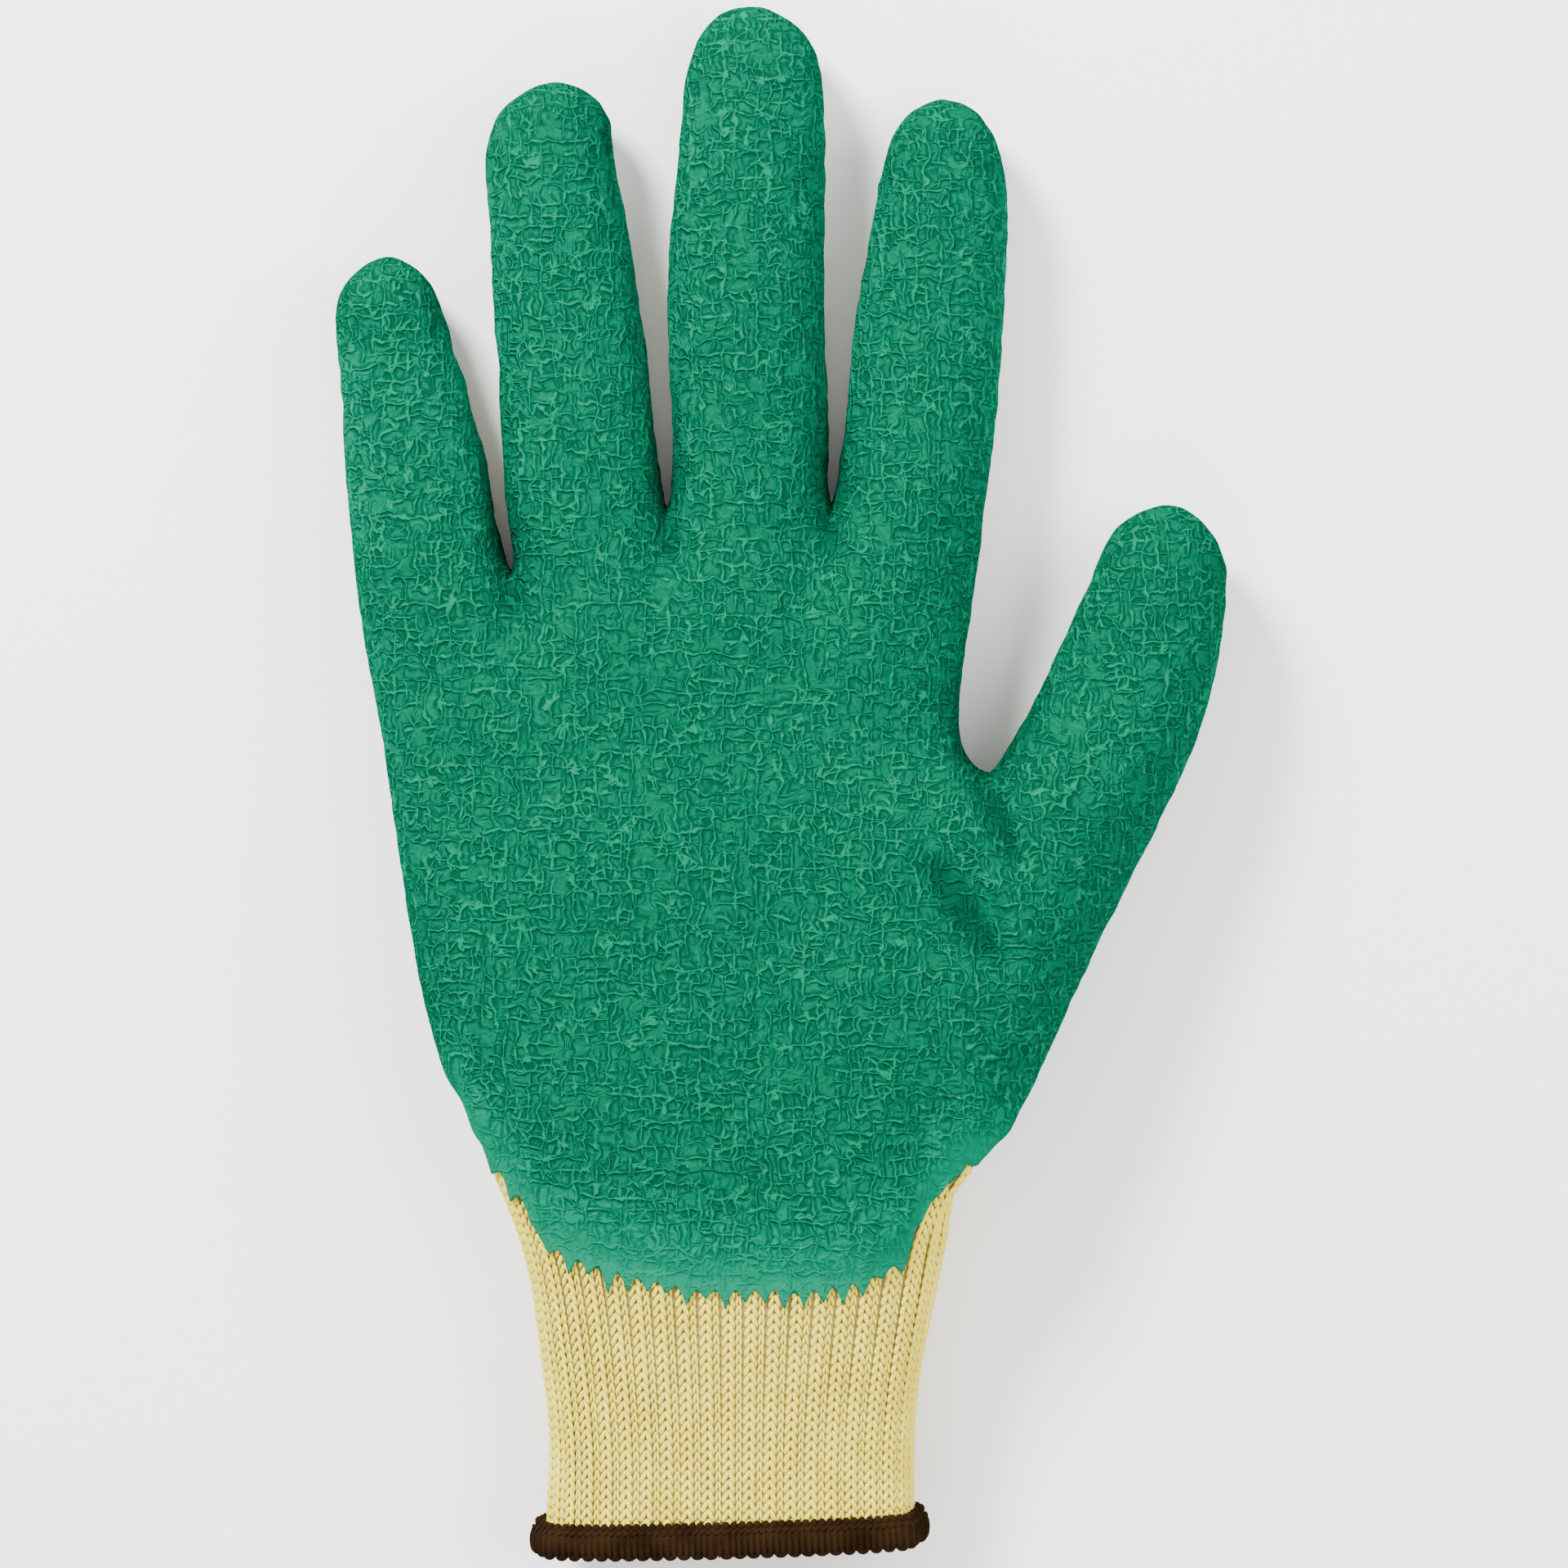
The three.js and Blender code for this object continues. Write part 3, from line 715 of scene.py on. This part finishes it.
def strand_tree():
    """Geometry nodes: a rounded strand on every point, turned and sized by the point's attributes."""
    tree = bpy.data.node_groups.new("Strands", "GeometryNodeTree")
    for label, kind in (("Points", "Geometry"), ("Sides", "Int"), ("Rings", "Int"), ("Yarn", "Material")):
        tree.interface.new_socket(name=label, in_out="INPUT", socket_type="NodeSocket" + kind)
    tree.interface.new_socket(name="Strands", in_out="OUTPUT", socket_type="NodeSocketGeometry")
    given = tree.nodes.new("NodeGroupInput").outputs
    turn, size = (
        put(tree, "GeometryNodeInputNamedAttribute", {"Name": name}, data_type="FLOAT_VECTOR").outputs[0]
        for name in ("turn", "size")
    )
    ball = {"Segments": given["Sides"], "Rings": given["Rings"], "Radius": 1.0}
    strand = put(tree, "GeometryNodeMeshUVSphere", ball).outputs["Mesh"]
    rotation = put(tree, "FunctionNodeEulerToRotation", {"Euler": turn}).outputs["Rotation"]
    spread = {"Points": given["Points"], "Instance": strand, "Rotation": rotation, "Scale": size}
    instances = put(tree, "GeometryNodeInstanceOnPoints", spread).outputs["Instances"]
    solid = put(tree, "GeometryNodeRealizeInstances", {"Geometry": instances}).outputs["Geometry"]
    finished = put(tree, "GeometryNodeSetMaterial", {"Geometry": solid, "Material": given["Yarn"]})
    tree.links.new(finished.outputs["Geometry"], tree.nodes.new("NodeGroupOutput").inputs["Strands"])
    return tree


def strand_mesh(strands, material, sides, rings):
    """A plain mesh of strands, given as rows of place, angles and half sizes."""
    cloud = bpy.data.meshes.new("strand_points")
    cloud.from_pydata(strands[:, :3].tolist(), [], [])
    for name, first in (("turn", 3), ("size", 6)):
        attribute = cloud.attributes.new(name, "FLOAT_VECTOR", "POINT")
        attribute.data.foreach_set("vector", strands[:, first : first + 3].astype(np.float32).ravel())
    item = bpy.data.objects.new("strand_points", cloud)
    bpy.context.scene.collection.objects.link(item)
    modifier = item.modifiers.new("Strands", "NODES")
    tree = bpy.data.node_groups.get("Strands") or strand_tree()
    modifier.node_group = tree
    for label, value in (("Sides", sides), ("Rings", rings), ("Yarn", material)):
        modifier[tree.interface.items_tree[label].identifier] = value
    mesh = evaluated_mesh(item)
    item.modifiers.remove(modifier)
    bpy.data.objects.remove(item)
    bpy.data.meshes.remove(cloud)
    return smoothed(mesh)


def joined(name, *meshes):
    """One mesh of several."""
    work = bmesh.new()
    for part in meshes:
        work.from_mesh(part)
    bmesh.ops.recalc_face_normals(work, faces=work.faces)
    mesh = bpy.data.meshes.new(name)
    work.to_mesh(mesh)
    work.free()
    return mesh


def cuff_rings(tree_of_skin, heights, count):
    """Closed rings of places round the cuff, one for each height, from its front towards +X."""
    rings = []
    angles = np.radians(90.0 - np.arange(CUFF_RAYS) * (360.0 / CUFF_RAYS))
    for y in heights:
        start = Vector((CUFF_AXIS[0] * MM, y * MM, CUFF_AXIS[1] * MM))
        hits = [tree_of_skin.ray_cast(start, Vector((math.cos(a), 0.0, math.sin(a))))[0] for a in angles]
        rings.append(closed_curve(np.array([list(hit) for hit in hits]), count))
    return np.array(rings)


def ring_frames(rings):
    """Directions across, outward and along at each place of a stack of rings."""
    across = unit(np.roll(rings, -1, 1) - np.roll(rings, 1, 1))
    along = unit(np.gradient(rings, axis=0))
    outward = unit(np.cross(across, along))
    return across, outward, unit(np.cross(outward, across))


def cuff_stitches(tree_of_skin):
    heights = np.arange(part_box("knit_liner")[0].y / MM + STITCH_START, CUFF_TOP, COURSE_PITCH)
    rings = cuff_rings(tree_of_skin, heights, CUFF_WALES)
    across, outward, along = ring_frames(rings)
    flat = [part.reshape(-1, 3) for part in (rings, across, outward, along)]
    shown = coat_depth(flat[0]) < 0.9 * MM
    return stitch_legs(*(part[shown] for part in flat))


def back_stitches(tree_of_skin, turn, seam_side):
    """Stitches on the back of the hand, in a flat grid turned in plan, on one side of the thumb's seam."""
    right, up = plan_axes(turn)
    columns = np.arange(-40, 41) * WALE_PITCH
    courses = np.arange(-90, 91) * COURSE_PITCH
    plan = np.array(THUMB_SEAM) + (columns[:, None, None] * right + courses[None, :, None] * up)
    plan = plan.reshape(-1, 2)
    beside = (plan - np.array(THUMB_SEAM)) @ plan_axes(THUMB_TURN)[0]
    in_palm = (beside < 0.8) | (plan[:, 1] > 30.0) & (plan[:, 0] < 38.0)
    chosen = (plan[:, 1] > CUFF_TOP - 0.8) & (in_palm if seam_side < 0 else ~in_palm)
    places, normals = [], []
    for x, y in plan[chosen]:
        place, normal, _, _ = tree_of_skin.ray_cast(Vector((x * MM, y * MM, -10 * MM)), Vector((0, 0, 1)))
        if place is not None and normal.z < -0.25:
            places.append(list(place))
            normals.append(list(normal))
    places, outward = np.array(places), unit(np.array(normals))
    shown = coat_depth(places) < 1.0 * MM
    places, outward = places[shown], outward[shown]
    along = np.array([up[0], up[1], 0.0]) + 0 * places
    along = unit(along - outward * (along * outward).sum(axis=1, keepdims=True))
    return stitch_legs(places, np.cross(along, outward), outward, along)


def past_cuff_end(points):
    """How far, in metres, each point lies into the glove from the plane of the cuff's end."""
    end_ring = cuff_end_ring()
    across = np.column_stack([end_ring[:, 0], end_ring[:, 2], np.ones(len(end_ring))])
    plane = np.linalg.lstsq(across, end_ring[:, 1], rcond=None)[0]
    return points[:, 1] - points[:, 0] * plane[0] - points[:, 2] * plane[1] - plane[2]


def hem_frame(count):
    """Places round the cuff's end, with directions round, outward and along the cuff."""
    dense = closed_curve(cuff_end_ring(), HEM_DENSE_PLACES)
    for _ in range(HEM_SMOOTHING):
        dense = 0.5 * dense + 0.25 * (np.roll(dense, 1, 0) + np.roll(dense, -1, 0))
    tangent = unit(np.roll(dense, -4, 0) - np.roll(dense, 4, 0))
    place = np.arange(count) * len(dense) / count
    low = place.astype(int)
    share = (place - low)[:, None]
    high = (low + 1) % len(dense)
    ring = dense[low] * (1.0 - share) + dense[high] * share
    across = unit(tangent[low] * (1.0 - share) + tangent[high] * share)
    outward = unit(np.cross(across, np.array([0.0, 1.0, 0.0])))
    return ring, across, outward, np.cross(outward, across)


def hem_places(ring, outward, along, out, down):
    """A ring of the hem, out from the cuff's end and down from the hem's top, wider at its two ends."""
    reach = out + (HEM_ENDS * outward[:, :1] ** 2 if out > 0 else 0.0)
    return ring + outward * reach * MM + along * (HEM_TOP - down) * MM


def hem_roll():
    """The closed body of the hem, under its yarn."""
    count = HEM_ROLL_PLACES
    ring, _, outward, along = hem_frame(count)
    rows = [hem_places(ring, outward, along, out, down) for out, down in HEM_SECTION]
    points = np.stack(rows, axis=1).reshape(-1, 3)
    points[:, 2] = np.maximum(points[:, 2], 0.05 * MM)
    depth = len(HEM_SECTION)
    here, beside = np.arange(count)[:, None] * depth, (np.arange(count)[:, None] + 1) % count * depth
    this, that = np.arange(depth)[None], (np.arange(depth)[None] + 1) % depth
    quads = np.stack([here + this, here + that, beside + that, beside + this], axis=-1).reshape(-1, 4)
    return smoothed(mesh_of("hem_roll", points, quads))


def hem_strands():
    """The hem's yarn, row by row, as many strands in each as its pitch allows."""
    made = []
    ring = hem_frame(60)[0]
    length = np.linalg.norm(np.roll(ring, -1, 0) - ring, axis=1).sum() / MM
    for row in HEM_ROWS.values():
        count = round(length / row["pitch"])
        ring, across, outward, along = hem_frame(count)
        centre = hem_places(ring, outward, along, row["out"], row["down"])
        frame_of_row = strand_frame(across, outward, along, np.full(count, row["lean"]))
        size = np.tile(np.array(row["size"]) * MM / 2, (count, 1))
        centre[:, 2] = np.maximum(centre[:, 2], 0.55 * row["size"][1] * MM)
        made.append(np.concatenate([centre, euler_angles(*frame_of_row), size], axis=1))
    return np.concatenate(made)


def drip_length(x):
    """How far, in millimetres, the coat's pointed drips hang down at each x."""
    randomness = np.random.default_rng(7)
    column, share = np.divmod(x - EDGE_X[0], DRIP_PITCH)
    count = int(column.max()) + 1
    lengths = randomness.uniform(*DRIP_LENGTHS, count) + DRIP_EXTRA * (randomness.random(count) < 0.2)
    lengths = lengths[column.astype(int)] * smoothstep(np.minimum(x - EDGE_X[0], EDGE_X[-1] - x), -3.0, 9.0)
    return lengths * (1.0 - np.abs(2.0 * share / DRIP_PITCH - 1.0)) ** 1.5


def drip_band(skin):
    """A thin band of latex under the coat's lower edge, cut into pointed drips along the knit's columns."""
    x = np.arange(EDGE_X[0], EDGE_X[-1], DRIP_STEP)
    edge = np.interp(x, EDGE_X, EDGE_Y)
    rows = np.linspace(0.0, 1.0, DRIP_ROWS)[:, None]
    top, foot = DRIP_BAND
    y = (edge + top) * (1.0 - rows) + (edge + foot - drip_length(x)) * rows
    places, normals = [], []
    for at in np.stack([np.broadcast_to(x, y.shape), y], axis=-1).reshape(-1, 2):
        hit = skin.ray_cast(Vector((*at, 80.0)) * MM, Vector((0, 0, -1)))
        if hit[0] is None:
            hit = skin.find_nearest(Vector((*at, CUFF_AXIS[1])) * MM)
        places.append(list(hit[0]))
        normals.append(list(hit[1]))
    places, normals = np.array(places), unit(np.array(normals))
    plain, more = DRIP_THICKNESS
    thickness = plain + more * np.cos(places[:, 0] * (2 * math.pi / (WALE_PITCH * MM)))
    corner = np.arange(len(rows) - 1)[:, None] * len(x) + np.arange(len(x) - 1)[None]
    quads = np.stack([corner, corner + len(x), corner + len(x) + 1, corner + 1], axis=-1).reshape(-1, 4)
    outer = places + normals * thickness[:, None] * MM
    mesh = shell_mesh("drip_band", outer, places - normals * COAT_SINK * MM, quads)
    keep_values(mesh, "edge", np.tile(np.repeat(2.6 * MM * (1.0 - rows), len(x)), 2))
    return mesh


def keep_values(mesh, name, values):
    """Keeps a value at each point, for the material."""
    attribute = mesh.attributes.new(name, "FLOAT", "POINT")
    attribute.data.foreach_set("value", values.astype(np.float32))


class GloveSettings(bpy.types.PropertyGroup):
    coat_net: bpy.props.FloatProperty(
        name="Coat Net", description="Side of a quad of the coat", default=0.91 * MM, unit="LENGTH"
    )
    coat_thickness: bpy.props.FloatProperty(
        name="Coat Thickness", description="Latex over the knit", default=1.25 * MM, unit="LENGTH"
    )
    body_net: bpy.props.FloatProperty(
        name="Body Net", description="Side of a quad of the knit's ground", default=2.0 * MM, unit="LENGTH"
    )
    skin_net: bpy.props.FloatProperty(
        name="Skin Net", description="Side of a quad that carries stitches", default=1.4 * MM, unit="LENGTH"
    )


class GLOVE_OT_coat(bpy.types.Operator):
    """Lays the crinkled latex coat over the palm, the sides and the fingertips"""

    bl_idname = "glove.coat"
    bl_label = "Make Latex Coat"

    def execute(self, context):
        settings = context.scene.glove
        points, quads = hand_form(settings.coat_net)
        skin = BVHTree.FromPolygons(points.tolist(), quads.tolist())
        depth = coat_depth(points)
        kept = (depth[quads] > 0).all(axis=1)
        points = snapped_to_edge(points, quads, depth)
        normals = relaxed(normals_of(points, quads), quads, 3)
        normals /= np.linalg.norm(normals, axis=1, keepdims=True)
        depth = np.maximum(depth, 0.0)
        more = settings.coat_thickness - COAT_EDGE * MM
        thickness = COAT_EDGE * MM + more * smoothstep(depth, 0.0, 6.0 * MM)
        wales = np.cos(points[:, 0] * (2 * math.pi / (WALE_PITCH * MM))) * smoothstep(depth, 14 * MM, 2 * MM)
        relief = with_noise(np.zeros(len(points)), points, RELIEF_NOISE) + 0.10 * wales
        for x, y, tall in KNOTS:
            square = (points[:, 0] / MM - x) ** 2 + (points[:, 1] / MM - y) ** 2
            relief += tall * np.exp(-(square / KNOT_RADIUS**2))
        relief *= MM * smoothstep(depth, 0.0, 3.0 * MM)
        fold, crease_shade = fold_height(points, normals)
        outer = points + normals * (thickness + relief + fold)[:, None]
        inner = points - normals * COAT_SINK * MM
        net, outer, inner, depth, crease_shade = used_only(quads[kept], outer, inner, depth, crease_shade)
        outer[:, 2] = np.maximum(outer[:, 2], 0.02 * MM)
        shell = shell_mesh("coat_shell", outer, inner, net)
        keep_values(shell, "edge", np.tile(depth, 2))
        # Keeps the painted shade of the creases and the slits' walls for the latex's colour
        keep_values(shell, "crease_shade", np.tile(crease_shade, 2))
        mesh = joined("latex_coat", shell, drip_band(skin))
        item = link("latex_coat", mesh, latex_material())
        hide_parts("latex_coating")
        return {"FINISHED"}


class GLOVE_OT_body(bpy.types.Operator):
    """Makes the knit's ground: the hollow glove under the stitches and the coat"""

    bl_idname = "glove.body"
    bl_label = "Make Knit Ground"

    def execute(self, context):
        points, quads = hand_form(context.scene.glove.body_net)
        points[:, 1] -= GROUND_BACK * MM * smoothstep(-fork_distance(points), -6.0, -2.0)
        inside = past_cuff_end(points) - GROUND_START * MM
        kept = (inside[quads] > 0).all(axis=1)
        points = snapped_to_edge(points, quads, inside)
        normals = normals_of(points, quads)
        outer = points - normals * GROUND_SINK * MM
        inner = points - normals * INSIDE_SINK * MM
        outer[:, 2] = np.maximum(outer[:, 2], 0.1 * MM)
        net, outer, inner = used_only(quads[kept], outer, inner)
        mesh = shell_mesh("knit_ground", outer, inner, net)
        # The ground's yarn is darker than the stitches', painted shade for the holes between them
        item = link("knit_ground", mesh, yarn_material("knit_ground"))
        mesh.materials.append(yarn_material("knit_inside"))
        lining = np.arange(len(mesh.polygons)) >= len(net)
        mesh.polygons.foreach_set("material_index", lining.astype(np.int32))
        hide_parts("knit_liner")
        return {"FINISHED"}


class GLOVE_OT_stitches(bpy.types.Operator):
    """Lays the yarn legs of the knit over the cuff, the back of the hand and the back of the thumb"""

    bl_idname = "glove.stitches"
    bl_label = "Make Knit Stitches"

    def execute(self, context):
        points, quads = hand_form(context.scene.glove.skin_net)
        skin = BVHTree.FromPolygons(points.tolist(), quads.tolist())
        yarn = yarn_material("cotton_yarn")
        for name, strands, sides in (
            ("cuff_stitches", cuff_stitches(skin), 5),
            ("back_stitches", back_stitches(skin, 0.0, -1), 4),
            ("thumb_stitches", back_stitches(skin, THUMB_TURN, 1), 4),
        ):
            mesh = strand_mesh(strands, yarn, sides, 3)
            item = link(name, mesh, yarn)
            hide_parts("knit_liner")
        return {"FINISHED"}


class GLOVE_OT_hem(bpy.types.Operator):
    """Wraps the overlocked hem round the end of the cuff"""

    bl_idname = "glove.hem"
    bl_label = "Make Hem"

    def execute(self, context):
        yarn = yarn_material("hem_yarn")
        mesh = joined("overlocked_hem", hem_roll(), strand_mesh(hem_strands(), yarn, 8, 6))
        item = link("overlocked_hem", mesh, yarn)
        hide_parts("overlock_hem")
        return {"FINISHED"}


class GLOVE_OT_stage(bpy.types.Operator):
    """Sets the pale floor, the soft lights and the camera over the palm"""

    bl_idname = "glove.stage"
    bl_label = "Make Stage"

    def execute(self, context):
        scene = context.scene
        mesh = mesh_of("floor", [(-2, -2, 0), (2, -2, 0), (2, 2, 0), (-2, 2, 0)], [(0, 1, 2, 3)])
        floor = bpy.data.objects.new("floor", mesh)
        material, _, shader = new_material("floor")
        shader.inputs["Base Color"].default_value = (0.9, 0.9, 0.9, 1)
        shader.inputs["Roughness"].default_value = 0.9
        mesh.materials.append(material)
        scene.collection.objects.link(floor)
        centre = Vector((VIEW_CENTRE[0] * MM, VIEW_CENTRE[1] * MM, 0))
        for name, (place, size, power) in LIGHTS.items():
            light = bpy.data.lights.new(name, "AREA")
            light.size = size
            light.energy = power
            lamp = bpy.data.objects.new(name, light)
            lamp.location = place
            lamp.rotation_euler = (centre - lamp.location).to_track_quat("-Z", "Y").to_euler()
            scene.collection.objects.link(lamp)
        world = bpy.data.worlds.new("soft_light")
        world.use_nodes = True
        sky = world.node_tree.nodes["Background"].inputs
        sky["Color"].default_value = (1.0, 1.0, 1.0, 1)
        sky["Strength"].default_value = WORLD_STRENGTH
        scene.world = world
        camera = bpy.data.cameras.new("camera")
        camera.lens = camera.sensor_width * (VIEW_HEIGHT - VIEW_PLANE) / VIEW_WIDTH
        camera.clip_start = 0.05
        holder = bpy.data.objects.new("camera", camera)
        holder.location = centre + Vector((0, 0, VIEW_HEIGHT * MM))
        scene.collection.objects.link(holder)
        scene.camera = holder
        return {"FINISHED"}


class GLOVE_PT_panel(bpy.types.Panel):
    """Sizes of the glove's pieces, and a button for each group of them"""

    bl_idname = "GLOVE_PT_panel"
    bl_label = "Work Glove"
    bl_space_type = "VIEW_3D"
    bl_region_type = "UI"
    bl_category = "Glove"

    def draw(self, context):
        for name in GloveSettings.__annotations__:
            self.layout.prop(context.scene.glove, name)
        for operator in OPERATORS:
            self.layout.operator(operator.bl_idname)


OPERATORS = (GLOVE_OT_stage, GLOVE_OT_body, GLOVE_OT_stitches, GLOVE_OT_coat, GLOVE_OT_hem)
CLASSES = (GloveSettings, *OPERATORS, GLOVE_PT_panel)


def register():
    for item in CLASSES:
        bpy.utils.register_class(item)
    bpy.types.Scene.glove = bpy.props.PointerProperty(type=GloveSettings)


def unregister():
    del bpy.types.Scene.glove
    for item in reversed(CLASSES):
        bpy.utils.unregister_class(item)


def main():
    register()
    bpy.ops.glove.stage()
    bpy.ops.glove.body()
    bpy.ops.glove.stitches()
    bpy.ops.glove.coat()
    bpy.ops.glove.hem()


if __name__ == "__main__":
    main()
